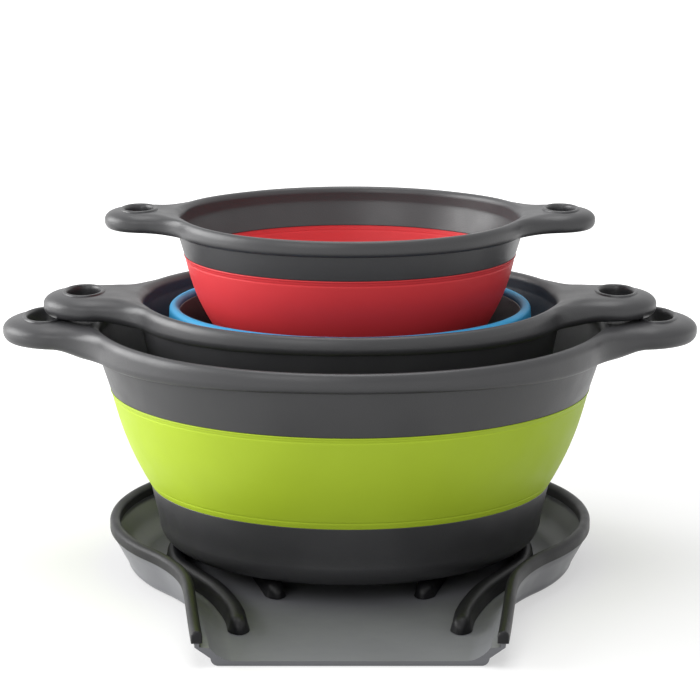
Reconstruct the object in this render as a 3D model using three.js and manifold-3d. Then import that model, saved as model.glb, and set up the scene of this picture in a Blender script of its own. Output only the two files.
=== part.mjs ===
// Three nesting collapsible colanders on a draining tray.
// Millimetres, +Z up. The origin is on the tray's flat underside, on the axis of the colanders.
// The tray's spout points along -Y and the ear handles along +X and -X.
// The large and the small colander are open, and the medium one is folded flat.
import * as THREE from "three";
import { mergeVertices } from "three/addons/utils/BufferGeometryUtils.js";
import Module from "manifold-3d";

const wasm = await Module();
wasm.setup();

// ---------- sizes shared by all pieces ----------
const SEAT_GAP = 0.3; // between pieces that touch
const WALL = 2.6; // rigid walls and floors of the colanders
const SILICONE = 2.2; // collapsible bands
const CREASE_DEPTH = 0.5; // hinge lines moulded into a band
const CREASE_HALF_WIDTH = 0.8;
const CREASE_INSET = 4.5; // from a band's edges to its hinge lines
const LIP_DROP = 3; // a folded band's lip below the rim's crest
const LIP_CURL = 4.5; // height of the curl over a folded base's edge
const LIP_SPREAD = 3.4; // width of that curl, centre to centre
const FOLD_DROP = 8.5; // how far a folded band hangs below the ring
const FOLD_SPREAD = 5.6; // width of the fold at its foot, centre to centre
const HANDLE_RISE = 2; // handle tops above the rim's crest
const HANDLE_RUNOUT = 9; // degrees over which a handle's root sinks into the rim's edge
const HANDLE_SINK = 1; // depth that it reaches there
const HANDLE_ROOT_DROP = 4.5; // how much deeper a handle is at its root
const HANDLE_ROOT_RUN = 16; // length over which that deepening fades out from the rim
const CROWN_REACH = 0.36; // domed edge of a handle's top, as a share of its half width
const CROWN_DROP = 0.45; // fall of that dome, as a share of the handle's thickness
const HANDLE_SOLE_ROUNDING = 0.28; // lower edge, as a share of the handle's thickness
const COLLAR_RISE = 0.9; // raised lip round a hang hole
const COLLAR_WIDTH = 2.8;
const HANG_HOLE_BEVEL = 2; // at the hole's lower edge
const HANG_HOLE_FLARE = 1.2; // at its upper edge, inside the collar
const RIM_SHOULDER = 0.42; // rounded top of the rim, as a share of its height
const RIM_LIP_LEAN = 0.4; // the rim's edge leans in to its lower side
const RIM_BEAD_BACK = 3; // straight inner side of the bead, above the ring's slanting wall
const BAND_SWELL_SKEW = 0.9; // below 1 puts a band's fullest part below its middle
const WAIST_LEAN = 0.16; // slope of a base's wall above its rounded corner
const WAIST_STEP = 1.2; // how far a base's wall stands in from the band's lower edge
const HOLE_SIDES = 6; // facets of a drain hole

const GREY = "#5a5a5c";
const DARK = "#2b2b2d";

// ---------- the three colanders ----------
// Each wall leans in from the rim to the floor by rimOverhang, ringTaper, bandTaper and baseTaper.
// The medium and the small colander hang clear of the next larger ring by nestClearance.
const LARGE = {
  name: "large",
  colour: "#b7d433",
  segments: 40,
  rimRadius: 146,
  rimWidth: 6.4,
  rimHeight: 10.5,
  rimOverhang: 3.8,
  ringHeight: 36,
  ringTaper: 8.2,
  bandHeight: 54,
  bandTaper: 21.5,
  bandBulge: 2.6,
  baseHeight: 35.5,
  baseTaper: 19.5,
  cornerRise: 14,
  handleLength: 48,
  handleHalfWidth: 34,
  handleFillet: 40,
  handleThickness: 13.5,
  hangHoleInset: 24,
  hangHoleRadial: 10,
  hangHoleAcross: 19.5,
  drainRadius: 3.2,
  drainPitch: 24,
  drainRings: 3,
};
const MEDIUM = {
  name: "medium",
  colour: "#3da3d6",
  segments: 36,
  nestClearance: 10.4,
  rimWidth: 6,
  rimHeight: 10.5,
  rimOverhang: 3.4,
  ringHeight: 41,
  ringTaper: 6.6,
  bandHeight: 50,
  bandTaper: 13.5,
  bandBulge: 2.2,
  baseHeight: 29.5,
  baseTaper: 17.5,
  cornerRise: 12,
  handleLength: 50,
  handleHalfWidth: 28,
  handleFillet: 34,
  handleThickness: 12.5,
  hangHoleInset: 22.5,
  hangHoleRadial: 9,
  hangHoleAcross: 15.5,
  drainRadius: 2.8,
  drainPitch: 27,
  drainRings: 2,
};
const SMALL = {
  name: "small",
  colour: "#dd4650",
  segments: 32,
  nestClearance: 9.4,
  rimWidth: 5.2,
  rimHeight: 8.5,
  rimOverhang: 3,
  ringHeight: 22,
  ringTaper: 4,
  bandHeight: 37.5,
  bandTaper: 14.5,
  bandBulge: 2,
  baseHeight: 20.5,
  baseTaper: 16.5,
  cornerRise: 10,
  handleLength: 37,
  handleHalfWidth: 22.5,
  handleFillet: 26,
  handleThickness: 10.5,
  hangHoleInset: 19,
  hangHoleRadial: 7.5,
  hangHoleAcross: 12.5,
  drainRadius: 2.5,
  drainPitch: 21,
  drainRings: 2,
};

// ---------- the draining tray ----------
const TRAY_ROOM = 21.5; // from the large base's edge to the wall's outer face
const TRAY_WALL = 2.4;
const TRAY_FLOOR = 2.6;
const TRAY_WALL_TOP = 24;
const TRAY_UPSTAND = 5; // straight top of the wall, which the trim grips
const TRAY_TAPER = 8; // how far the wall leans in down to the floor
const TRAY_CORNER = 4; // rounding between wall and underside
const SPOUT_TURN = 36; // degrees in front of the X axis where the round wall ends
const SPOUT_SWEEP_RADIUS = 130; // hollow curve that leads into the spout
const SPOUT_FLARE = 7; // degrees that the spout's walls close in
const SPOUT_REACH = 61; // how far the open end stands out past the round wall
const MOUTH_DROP = 9; // how far the wall is lower at the mouth
const MOUTH_DROP_RUN = 75; // length over which it comes down
const TRIM_LEG = 1.4;
const TRIM_GRIP = 3; // how far the trim reaches down the wall
const TRIM_SHOULDER = 0.8;
const TRIM_DOME_STEPS = 3;
const RIB_HEIGHT = 9;
const RIB_WIDTH = 7.6;
const RIB_STEPS = 10;
// Centre lines of the right-hand ribs, from the spout to the back: how far each point lies outside
// the large colander's flat floor, and its angle from the X axis in degrees.
const OUTER_RIB_ROUTE = [
  [33, -63.6],
  [17, -53.1],
  [4, -35.3],
  [3, -16.4],
  [8, -3.4],
  [11, 8.3],
  [10.5, 20.4],
  [9, 37.4],
];
const INNER_RIB_ROUTE = [
  [-19.4, -58.9],
  [-31.8, -38.4],
  [-37.9, -3.1],
  [-32.1, 29.5],
  [-22.6, 51.3],
];

// ---------- sizes that follow from the ones above ----------
const large = colander(LARGE, LARGE.rimRadius);
const medium = colander(MEDIUM, nestedRadius(large, MEDIUM.nestClearance));
const small = colander(SMALL, nestedRadius(medium, SMALL.nestClearance));
const TRAY_RADIUS = large.bandBottom + TRAY_ROOM;
const SPOUT_MOUTH = TRAY_RADIUS + SPOUT_REACH;
const MOUTH_DROP_START = SPOUT_MOUTH - MOUTH_DROP_RUN;
const RIB_BOTTOM = TRAY_FLOOR + SEAT_GAP;
const LARGE_FOOT = RIB_BOTTOM + RIB_HEIGHT + SEAT_GAP;
const LARGE_CREST = LARGE_FOOT + openHeight(large);
const LARGE_TOP = LARGE_CREST + HANDLE_RISE + COLLAR_RISE;
const MEDIUM_CREST = LARGE_TOP + SEAT_GAP + medium.handleThickness - HANDLE_RISE;
const MEDIUM_EDGE = MEDIUM_CREST - LIP_DROP - LIP_CURL; // top edge of the folded base
const SMALL_FOOT = MEDIUM_EDGE - medium.baseHeight + WALL + SEAT_GAP;

// A colander's sizes with the radii that follow from its rim and its tapers.
function colander(sizes, rimRadius) {
  const ringTop = rimRadius - sizes.rimOverhang;
  const ringBottom = ringTop - sizes.ringTaper;
  const bandBottom = ringBottom - sizes.bandTaper;
  const floorRadius = bandBottom - sizes.baseTaper;
  const handleReach = rimRadius + sizes.handleLength;
  return { ...sizes, rimRadius, ringTop, ringBottom, bandBottom, floorRadius, handleReach };
}

// The rim of a colander that hangs inside another one's ring with a clearance all round.
function nestedRadius(holder, clearance) {
  return holder.ringBottom - WALL - clearance;
}

function openHeight(size) {
  return size.baseHeight + SEAT_GAP + size.bandHeight + SEAT_GAP + size.ringHeight;
}

// ---------- geometry helpers ----------
function radians(degrees) {
  return THREE.MathUtils.degToRad(degrees);
}

// A three.js geometry as a manifold-3d solid with its faces pointing out.
function solidFrom(geometry) {
  const bare = geometry.clone();
  bare.deleteAttribute("normal");
  bare.deleteAttribute("uv");
  const merged = mergeVertices(bare, 1e-4);
  const triVerts = new Uint32Array(merged.index.array);
  const vertProperties = new Float32Array(merged.attributes.position.array);
  if (signedVolume(vertProperties, triVerts) < 0) {
    triVerts.reverse();
  }
  return new wasm.Manifold(new wasm.Mesh({ numProp: 3, vertProperties, triVerts }));
}

function signedVolume(points, triangles) {
  const corner = (k) => new THREE.Vector3().fromArray(points, 3 * triangles[k]);
  let sum = 0;
  for (let i = 0; i < triangles.length; i += 3) {
    sum += corner(i).dot(corner(i + 1).cross(corner(i + 2)));
  }
  return sum;
}

function meshFrom(solid, name, colour, roughness) {
  const mesh = solid.getMesh();
  const geometry = new THREE.BufferGeometry();
  geometry.setAttribute("position", new THREE.BufferAttribute(mesh.vertProperties, 3));
  geometry.setIndex(new THREE.BufferAttribute(mesh.triVerts, 1));
  geometry.computeVertexNormals();
  const material = new THREE.MeshStandardMaterial({ color: colour, roughness, metalness: 0 });
  const made = new THREE.Mesh(geometry, material);
  made.name = name;
  return made;
}

// A closed profile of [radius, z] points turned round the Z axis.
function revolve(profile, segments) {
  const points = profile.map(([radius, z]) => new THREE.Vector2(radius, z));
  const onAxis = profile[0][0] === 0 && profile[profile.length - 1][0] === 0;
  if (!onAxis) {
    points.push(points[0].clone());
  }
  const geometry = new THREE.LatheGeometry(points, segments);
  geometry.rotateX(Math.PI / 2);
  return solidFrom(geometry);
}

// A solid through a row of rings with equally many points, capped at the first and the last.
function skin(rings) {
  const count = rings[0].length;
  const points = rings.flat();
  const indices = [];
  for (let i = 0; i < rings.length - 1; i += 1) {
    for (let k = 0; k < count; k += 1) {
      const a = i * count + k;
      const b = i * count + ((k + 1) % count);
      indices.push(a, b, b + count, a, b + count, a + count);
    }
  }
  indices.push(...capTriangles(rings[0], 0, true));
  indices.push(...capTriangles(rings[rings.length - 1], (rings.length - 1) * count, false));
  const geometry = new THREE.BufferGeometry().setFromPoints(points);
  geometry.setIndex(indices);
  return solidFrom(geometry);
}

// Triangles that close a ring of points, flattened along the ring's own normal.
function capTriangles(ring, start, turned) {
  const normal = new THREE.Vector3();
  ring.forEach((point, i) => normal.add(point.clone().cross(ring[(i + 1) % ring.length])));
  const turn = new THREE.Quaternion().setFromUnitVectors(
    normal.normalize(),
    new THREE.Vector3(0, 0, 1),
  );
  const flat = ring.map((point) => {
    const turned = point.clone().applyQuaternion(turn);
    return new THREE.Vector2(turned.x, turned.y);
  });
  return THREE.ShapeUtils.triangulateShape(flat, []).flatMap(([a, b, c]) => {
    const facesUp = flat[b].clone().sub(flat[a]).cross(flat[c].clone().sub(flat[a])) > 0;
    const order = facesUp === turned ? [a, c, b] : [a, b, c];
    return order.map((k) => start + k);
  });
}

// Points of an elliptical arc from one angle to another, in degrees, as [x, y].
function arc(centre, semiX, semiY, from, to, steps) {
  return Array.from({ length: steps + 1 }, (_, i) => {
    const angle = radians(from + ((to - from) * i) / steps);
    return [centre[0] + semiX * Math.cos(angle), centre[1] + semiY * Math.sin(angle)];
  });
}

// A line moved sideways to its left, whose two ends keep their heights.
function offsetLine(line, distance) {
  return line.map((point, i) => {
    const before = line[Math.max(i - 1, 0)];
    const after = line[Math.min(i + 1, line.length - 1)];
    const length = Math.hypot(after[0] - before[0], after[1] - before[1]);
    const isEnd = i === 0 || i === line.length - 1;
    return [
      point[0] - ((after[1] - before[1]) / length) * distance,
      isEnd ? point[1] : point[1] + ((after[0] - before[0]) / length) * distance,
    ];
  });
}

// ---------- rim: ring wall, rolled edge and ear handles in one moulding ----------
function ringProfile(size, crest) {
  const inner = size.rimRadius - size.rimWidth;
  const shoulder = crest - RIM_SHOULDER * size.rimHeight;
  const rounding = arc(
    [size.rimRadius - size.rimWidth / 2, shoulder],
    size.rimWidth / 2,
    crest - shoulder,
    0,
    180,
    4,
  );
  const underside = crest - size.rimHeight;
  const bottom = crest - size.ringHeight;
  return [
    [size.ringBottom - WALL, bottom],
    [size.ringBottom, bottom],
    [size.ringTop, underside],
    [size.rimRadius - RIM_LIP_LEAN, underside],
    ...rounding,
    [inner, shoulder - RIM_BEAD_BACK],
  ];
}

// Plan of a right-hand ear: hollow fillets off the rim run into a round end.
// Its first two points lie inside the rim, where the root sinks in.
function earOutline(size) {
  const { rimRadius, handleFillet: fillet, handleHalfWidth: half, handleReach } = size;
  const centre = handleReach - half;
  const toFillet = rimRadius + fillet;
  const filletX = (toFillet ** 2 - (half + fillet) ** 2 + centre ** 2) / (2 * centre);
  const filletY = Math.sqrt(toFillet ** 2 - filletX ** 2);
  const angle = THREE.MathUtils.radToDeg(Math.atan2(filletY, filletX));
  const endAngle = THREE.MathUtils.radToDeg(Math.atan2(filletY, filletX - centre));
  const root = arc([filletX, filletY], fillet, fillet, 180 + angle, 180 + endAngle, 4);
  const end = arc([centre, 0], half, half, endAngle, 0, 5).slice(1);
  const sunk = rimRadius - HANDLE_SINK;
  const [inner, outer] = [0.7 * sunk, sunk].map((radius) => {
    const turn = radians(angle + HANDLE_RUNOUT);
    return [radius * Math.cos(turn), radius * Math.sin(turn)];
  });
  const upper = [inner, outer, ...root, ...end];
  const lower = upper
    .slice(0, -1)
    .map(([x, y]) => [x, -y])
    .reverse();
  return [...upper, ...lower];
}

// Moves each point of a closed outline inwards by a distance.
function inset(outline, distance) {
  return outline.map((point, i) => {
    const before = outline[(i + outline.length - 1) % outline.length];
    const after = outline[(i + 1) % outline.length];
    const length = Math.hypot(after[0] - before[0], after[1] - before[1]);
    return [
      point[0] + ((after[1] - before[1]) / length) * distance,
      point[1] - ((after[0] - before[0]) / length) * distance,
    ];
  });
}

function at(outline, z) {
  return outline.map(([x, y]) => new THREE.Vector3(x, y, z));
}

// An ear's plate, with a domed top and a rounded lower edge.
function earPlate(size, low, high) {
  const outline = earOutline(size);
  const sole = HANDLE_SOLE_ROUNDING * size.handleThickness;
  const reach = CROWN_REACH * size.handleHalfWidth;
  const drop = CROWN_DROP * size.handleThickness;
  const lower = arc([sole, low + sole], sole, sole, 270, 180, 1);
  const upper = arc([reach, high - drop], reach, drop, 180, 90, 3);
  return skin([...lower, ...upper].map(([move, z]) => at(inset(outline, move), z)));
}

// The deeper root under an ear's plate, which slopes up towards the tip and to both sides.
function earRoot(size, low) {
  const { rimRadius, handleHalfWidth: half } = size;
  const section = (x, drop, keel, top) => [
    new THREE.Vector3(x, top * half, low + 1),
    new THREE.Vector3(x, keel * half, low - drop),
    new THREE.Vector3(x, -keel * half, low - drop),
    new THREE.Vector3(x, -top * half, low + 1),
  ];
  return skin([
    section(rimRadius / 2, HANDLE_ROOT_DROP, 0.5, 1.1),
    section(rimRadius, HANDLE_ROOT_DROP, 0.5, 1.1),
    section(rimRadius + HANDLE_ROOT_RUN, 0, 0.5, 0.9),
  ]);
}

function ovalAt(size, grow, steps) {
  const centre = [size.handleReach - size.hangHoleInset, 0];
  const radial = size.hangHoleRadial + grow;
  const across = size.hangHoleAcross + grow;
  return arc(centre, radial, across, 0, -360, steps).slice(0, -1);
}

function earSolid(size, crest) {
  const high = crest + HANDLE_RISE;
  const low = high - size.handleThickness;
  const steps = 14;
  const plate = earPlate(size, low, high);
  const collar = skin([
    at(ovalAt(size, COLLAR_WIDTH, steps), high - 1),
    at(ovalAt(size, COLLAR_WIDTH, steps), high),
    at(ovalAt(size, COLLAR_WIDTH - COLLAR_RISE, steps), high + COLLAR_RISE),
  ]);
  const hole = skin([
    at(ovalAt(size, 1.5 * HANG_HOLE_BEVEL, steps), low - HANG_HOLE_BEVEL / 2),
    at(ovalAt(size, 0, steps), low + HANG_HOLE_BEVEL),
    at(ovalAt(size, 0, steps), high - HANG_HOLE_FLARE),
    at(ovalAt(size, HANG_HOLE_FLARE, steps), high + COLLAR_RISE + 0.5),
  ]);
  return plate.add(earRoot(size, low)).add(collar).subtract(hole);
}

function rimMesh(size, crest) {
  const ring = revolve(ringProfile(size, crest), size.segments);
  const right = earSolid(size, crest);
  const left = right.rotate([0, 0, 180]);
  const clear = size.rimRadius - size.rimWidth / 2;
  const high = crest + HANDLE_RISE + 1;
  const bottom = crest - size.ringHeight;
  const bowl = revolve(
    [
      [0, bottom],
      [size.ringBottom - WALL / 2, bottom],
      [size.ringTop - WALL / 2, crest - size.rimHeight],
      [clear, crest - RIM_SHOULDER * size.rimHeight],
      [clear, high],
      [0, high],
    ],
    size.segments,
  );
  const ears = right.add(left).subtract(bowl);
  return meshFrom(ring.add(ears), size.name + "_rim", GREY, 0.45);
}

// ---------- bands ----------
// The open band's section: its outer face from the lower edge up, then its inner face down.
function openBandProfile(size, lower, upper) {
  const low = [size.bandBottom, lower];
  const high = [size.ringBottom, upper];
  const along = (z) => {
    const t = (z - lower) / (upper - lower);
    const swell = size.bandBulge * Math.sin(Math.PI * t ** BAND_SWELL_SKEW);
    return [low[0] + (high[0] - low[0]) * t + swell, z];
  };
  const crease = (z) => {
    const [radius] = along(z);
    return [
      [radius, z - CREASE_HALF_WIDTH],
      [radius - CREASE_DEPTH, z],
      [radius, z + CREASE_HALF_WIDTH],
    ];
  };
  const panelLow = lower + CREASE_INSET;
  const panelHigh = upper - CREASE_INSET;
  const middle = [0.36, 0.7].map((t) => along(panelLow + t * (panelHigh - panelLow)));
  const inner = [high, ...middle.toReversed(), low].map(([radius, z]) => [radius - SILICONE, z]);
  return [low, ...crease(panelLow), ...middle, ...crease(panelHigh), high, ...inner];
}

// The folded band's centre line, from the base's edge over the lip and round the fold to the ring.
function foldedBandLine(size, crest, edge) {
  const half = SILICONE / 2;
  const start = size.bandBottom - WALL / 2;
  const foldFoot = crest - size.ringHeight - FOLD_DROP + half;
  const ringEdge = crest - size.ringHeight - SEAT_GAP;
  const lipTop = crest - LIP_DROP - half;
  const lipRadius = LIP_SPREAD / 2;
  const lip = arc([start + lipRadius, lipTop - lipRadius], lipRadius, lipRadius, 180, 0, 3);
  const ringSide = size.ringBottom - half;
  const foldRadius = FOLD_SPREAD / 2;
  const foldCentre = ringSide - 2 - foldRadius;
  const fold = arc([foldCentre, foldFoot + foldRadius], foldRadius, foldRadius, 180, 360, 3);
  return [[start, edge + SEAT_GAP], ...lip, ...fold, [ringSide, ringEdge]];
}

function bandMesh(size, profile) {
  return meshFrom(revolve(profile, size.segments), size.name + "_band", size.colour, 0.5);
}

// ---------- bases ----------
function baseProfile(size, foot) {
  const edge = foot + size.baseHeight;
  const cornerTop = foot + size.cornerRise;
  const waist = size.bandBottom - WAIST_LEAN * (size.baseHeight - size.cornerRise) - WAIST_STEP;
  const corner = arc(
    [size.floorRadius, cornerTop],
    waist - size.floorRadius,
    size.cornerRise,
    -90,
    0,
    3,
  );
  const face = [[0, foot], ...corner, [size.bandBottom, edge]];
  const inner = offsetLine(face, WALL);
  inner[0][1] = foot + WALL;
  return [...face, ...inner.toReversed()];
}

function baseMesh(size, foot) {
  let solid = revolve(baseProfile(size, foot), size.segments);
  const hole = new THREE.CylinderGeometry(
    size.drainRadius,
    size.drainRadius,
    3 * WALL,
    HOLE_SIDES,
  );
  hole.rotateX(Math.PI / 2);
  const drill = solidFrom(hole);
  const rings = Array.from({ length: size.drainRings }, (_, i) => {
    const radius = (i + 1) * size.drainPitch;
    return arc([0, 0], radius, radius, 0, 360, 6 * (i + 1)).slice(0, -1);
  });
  const places = [[0, 0], ...rings.flat()];
  const holes = places.map(([x, y]) => drill.translate([x, y, foot + WALL / 2]));
  solid = solid.subtract(wasm.Manifold.union(holes));
  return meshFrom(solid, size.name + "_base", GREY, 0.45);
}

// ---------- whole colanders ----------
function openColander(size, foot) {
  const lower = foot + size.baseHeight + SEAT_GAP;
  const upper = lower + size.bandHeight;
  const crest = foot + openHeight(size);
  const group = new THREE.Group();
  group.add(rimMesh(size, crest));
  group.add(bandMesh(size, openBandProfile(size, lower, upper)));
  group.add(baseMesh(size, foot));
  return group;
}

function foldedColander(size, crest, edge) {
  const line = foldedBandLine(size, crest, edge);
  const outer = offsetLine(line, SILICONE / 2);
  const inner = offsetLine(line, -SILICONE / 2);
  const group = new THREE.Group();
  group.add(rimMesh(size, crest));
  group.add(bandMesh(size, [...outer, ...inner.toReversed()]));
  group.add(baseMesh(size, edge - size.baseHeight));
  return group;
}

// ---------- tray ----------
// Stations along the wall's outer face, from the mouth's right side round the back to its left.
function trayStations() {
  const turn = radians(SPOUT_TURN);
  const flare = radians(SPOUT_FLARE);
  const far = TRAY_RADIUS + SPOUT_SWEEP_RADIUS;
  const sweepCentre = [far * Math.cos(turn), -far * Math.sin(turn)];
  const steps = 6;
  const right = [];
  for (let i = 0; i <= steps; i += 1) {
    const angle = flare + ((turn - flare) * i) / steps;
    right.push({
      x: sweepCentre[0] - SPOUT_SWEEP_RADIUS * Math.cos(angle),
      y: sweepCentre[1] + SPOUT_SWEEP_RADIUS * Math.sin(angle),
      angle,
    });
  }
  const first = right[0];
  const run = SPOUT_MOUTH + first.y;
  const straight = [1, 0.66, 0.33].map((t) => ({
    x: first.x - t * run * Math.tan(flare),
    y: first.y - t * run,
    angle: flare,
  }));
  const quarter = 10;
  const round = Array.from({ length: quarter }, (_, i) => {
    const angle = turn - ((turn + Math.PI / 2) * (i + 1)) / quarter;
    return { x: TRAY_RADIUS * Math.cos(angle), y: -TRAY_RADIUS * Math.sin(angle), angle };
  });
  const half = [...straight, ...right, ...round].map(({ x, y, angle }) => ({
    x,
    y,
    outX: Math.cos(angle),
    outY: -Math.sin(angle),
    top: wallTop(y),
  }));
  const mirrored = half
    .slice(0, -1)
    .map((s) => ({ ...s, x: -s.x, outX: -s.outX }))
    .reverse();
  return [...half, ...mirrored];
}

function wallTop(y) {
  return TRAY_WALL_TOP - MOUTH_DROP * THREE.MathUtils.smoothstep(-y, MOUTH_DROP_START, SPOUT_MOUTH);
}

// One ring of the tray's plan at a level: an inset from the wall's outer face and a height.
// A level with forward carries the mouth's two points on along the spout's walls.
function trayRing(stations, level) {
  const { inset: move, fixed, fromTop = 0, forward = 0 } = level;
  const last = stations.length - 1;
  return stations.map((s, i) => {
    const push = i === 0 || i === last ? forward : 0;
    return new THREE.Vector3(
      s.x - s.outX * move + s.outY * Math.sign(s.x) * push,
      s.y - s.outY * move - Math.abs(s.outX) * push,
      fixed ?? s.top + fromTop,
    );
  });
}

function trayShell(stations) {
  const foot = TRAY_TAPER;
  const outer = skin([
    trayRing(stations, { inset: foot + TRAY_CORNER, fixed: 0 }),
    trayRing(stations, { inset: foot + 0.3 * TRAY_CORNER, fixed: 0.3 * TRAY_CORNER }),
    trayRing(stations, { inset: foot, fixed: TRAY_CORNER }),
    trayRing(stations, { inset: 0, fromTop: -TRAY_UPSTAND }),
    trayRing(stations, { inset: 0, fromTop: 0 }),
    trayRing(stations, { inset: 2 * TRAY_WALL, fromTop: 0 }),
  ]);
  const inside = foot + TRAY_WALL;
  const forward = 2 * TRAY_WALL;
  const cavity = skin([
    trayRing(stations, { inset: inside + TRAY_CORNER, fixed: TRAY_FLOOR, forward }),
    trayRing(stations, {
      inset: inside + 0.3 * TRAY_CORNER,
      fixed: TRAY_FLOOR + 0.3 * TRAY_CORNER,
      forward,
    }),
    trayRing(stations, { inset: inside, fixed: TRAY_FLOOR + TRAY_CORNER, forward }),
    trayRing(stations, { inset: TRAY_WALL, fromTop: -TRAY_UPSTAND, forward }),
    trayRing(stations, { inset: TRAY_WALL, fromTop: TRAY_WALL_TOP / 2, forward }),
  ]);
  return meshFrom(outer.subtract(cavity), "tray_shell", "#77787b", 0.4);
}

// The soft trim is a channel pressed over the wall's upstand.
function trayTrim(stations) {
  const outerLeg = -SEAT_GAP - TRIM_LEG;
  const innerLeg = TRAY_WALL + SEAT_GAP + TRIM_LEG;
  const middle = (outerLeg + innerLeg) / 2;
  const half = (innerLeg - outerLeg) / 2;
  const dome = arc([middle, TRIM_SHOULDER], half, half, 180, 0, TRIM_DOME_STEPS);
  const section = [
    [outerLeg, -TRIM_GRIP],
    ...dome,
    [innerLeg, -TRIM_GRIP],
    [innerLeg - TRIM_LEG, -TRIM_GRIP],
    [innerLeg - TRIM_LEG, SEAT_GAP],
    [outerLeg + TRIM_LEG, SEAT_GAP],
    [outerLeg + TRIM_LEG, -TRIM_GRIP],
  ];
  const rings = stations.map((s) =>
    section.map(
      ([move, z]) => new THREE.Vector3(s.x - s.outX * move, s.y - s.outY * move, s.top + z),
    ),
  );
  return meshFrom(skin(rings), "tray_trim", DARK, 0.55);
}

// A rib is a bead with a round top and round ends that follows a curve on the floor.
function ribMesh(name, route, side) {
  const curve = new THREE.CatmullRomCurve3(
    route.map(([outside, degrees]) => {
      const radius = large.floorRadius + outside;
      const angle = radians(degrees);
      const x = side * radius * Math.cos(angle);
      return new THREE.Vector3(x, radius * Math.sin(angle), RIB_BOTTOM);
    }),
  );
  const length = curve.getLength();
  const half = RIB_WIDTH / 2;
  const ends = [0, 0.15, 0.5].map((t) => (t * half) / length);
  const inner = Array.from({ length: RIB_STEPS - 1 }, (_, i) => {
    const share = half / length;
    return share + ((1 - 2 * share) * i) / (RIB_STEPS - 2);
  });
  const places = [...ends, ...inner, ...ends.map((t) => 1 - t).reverse()];
  const rings = places.map((u) => {
    const point = curve.getPointAt(u);
    const tangent = curve.getTangentAt(u);
    const fromEnd = Math.min(u, 1 - u) * length;
    const round = Math.sqrt(Math.max(1 - Math.max(1 - fromEnd / half, 0) ** 2, 0.04));
    const width = half * round;
    const height = RIB_HEIGHT - half * (1 - round);
    const dome = arc([0, height - half * round], width, half * round, 0, 180, 4);
    const section = [[width, 0], ...dome, [-width, 0]];
    return section.map(
      ([across, up]) =>
        new THREE.Vector3(
          point.x + tangent.y * across,
          point.y - tangent.x * across,
          RIB_BOTTOM + up,
        ),
    );
  });
  return meshFrom(skin(rings), name, DARK, 0.5);
}

function tray() {
  const stations = trayStations();
  const group = new THREE.Group();
  group.add(trayShell(stations));
  group.add(trayTrim(stations));
  [
    ["left", -1],
    ["right", 1],
  ].forEach(([word, side]) => {
    group.add(ribMesh("outer_rib_" + word, OUTER_RIB_ROUTE, side));
    group.add(ribMesh("inner_rib_" + word, INNER_RIB_ROUTE, side));
  });
  return group;
}

const set = new THREE.Group();
set.add(tray());
set.add(openColander(large, LARGE_FOOT));
set.add(foldedColander(medium, MEDIUM_CREST, MEDIUM_EDGE));
set.add(openColander(small, SMALL_FOOT));

export default set;
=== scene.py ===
"""Looks for the nesting colander set: three collapsible colanders over a draining tray."""

import math

import bmesh
import bpy
import numpy as np
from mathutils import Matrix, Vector


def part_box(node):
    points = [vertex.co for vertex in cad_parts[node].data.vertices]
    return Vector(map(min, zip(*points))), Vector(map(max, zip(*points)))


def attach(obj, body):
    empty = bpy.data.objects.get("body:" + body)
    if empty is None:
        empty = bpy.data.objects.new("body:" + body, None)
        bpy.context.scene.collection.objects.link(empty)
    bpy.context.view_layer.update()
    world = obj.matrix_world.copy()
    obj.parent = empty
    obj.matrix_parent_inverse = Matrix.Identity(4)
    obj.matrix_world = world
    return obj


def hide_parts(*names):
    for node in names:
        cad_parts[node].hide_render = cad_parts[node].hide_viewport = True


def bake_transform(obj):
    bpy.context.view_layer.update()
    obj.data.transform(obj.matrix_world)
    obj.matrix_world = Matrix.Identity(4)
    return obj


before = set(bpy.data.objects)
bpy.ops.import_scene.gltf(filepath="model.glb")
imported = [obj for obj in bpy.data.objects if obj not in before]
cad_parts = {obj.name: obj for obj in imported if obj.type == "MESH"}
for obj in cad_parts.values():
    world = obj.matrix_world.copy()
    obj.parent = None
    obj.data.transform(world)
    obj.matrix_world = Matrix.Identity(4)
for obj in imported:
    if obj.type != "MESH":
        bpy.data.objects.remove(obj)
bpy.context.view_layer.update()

# ---------- sizes in millimetres ----------
MM = 0.001
WALL = 2.6  # rigid walls and floors
SILICONE = 2.2  # collapsible bands
JOIN_GAP = 0.05  # hairline between a band and the rim or base it is bonded to
HANDLE_RISE = 2.0  # handle tops above the rim's crest
HANDLE_RAMP = 16.0  # length over which a handle's top rises from the crest
CREST_FLAT = 0.7  # width of the rim's crest between its two roundings
CREST_SWEEP = 0.9  # how much the crest itself rises behind a handle
EDGE_ROUNDING = 0.5  # lower edges of rings and trim, and the brims of bases
SKIN_START = 7.0  # below the rim's roll, where the skin's first loop lies on the ring's wall
NECK_DEPTH = 10.0  # below the crest, where the ring's inside eases into the rim's
NECK_STEP, NECK_ROUNDING = 0.5, 3.0
NECK_TOP = 7.5  # below the crest, where that easing ends
CROWN_REACH = 0.36  # domed edge of a handle's top, as a share of its half width
CROWN_DROP = 0.5  # fall of that dome, as a share of the handle's thickness
RIM_CROWN = 0.5  # fall of the rim's outer rounding, as a share of the rim's height
SOLE_ROUNDING = 0.4  # a handle's lower edge, as a share of its thickness
SOLE_WIDTH = 0.85  # and how far in that edge reaches, as a share of how far up
RIM_ROUNDING = 0.42  # the rim's other roundings, as a share of its width or height
EAR_BLEND = 12.0  # length over which the rim's section turns into a handle's
SWEEP_FROM, SWEEP_RUN = 10.0, 45.0  # where the raised crest fades out, in degrees
ROOT_RUN = 22.0  # length over which the rim's deeper edge fades out along the handle
ROOT_FROM, ROOT_TO = 20.0, 88.0  # and along the rim, in degrees from the handle's middle
ROOT_ROLL = 2.6  # extra rounding of the rim's inner edge behind a handle
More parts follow.
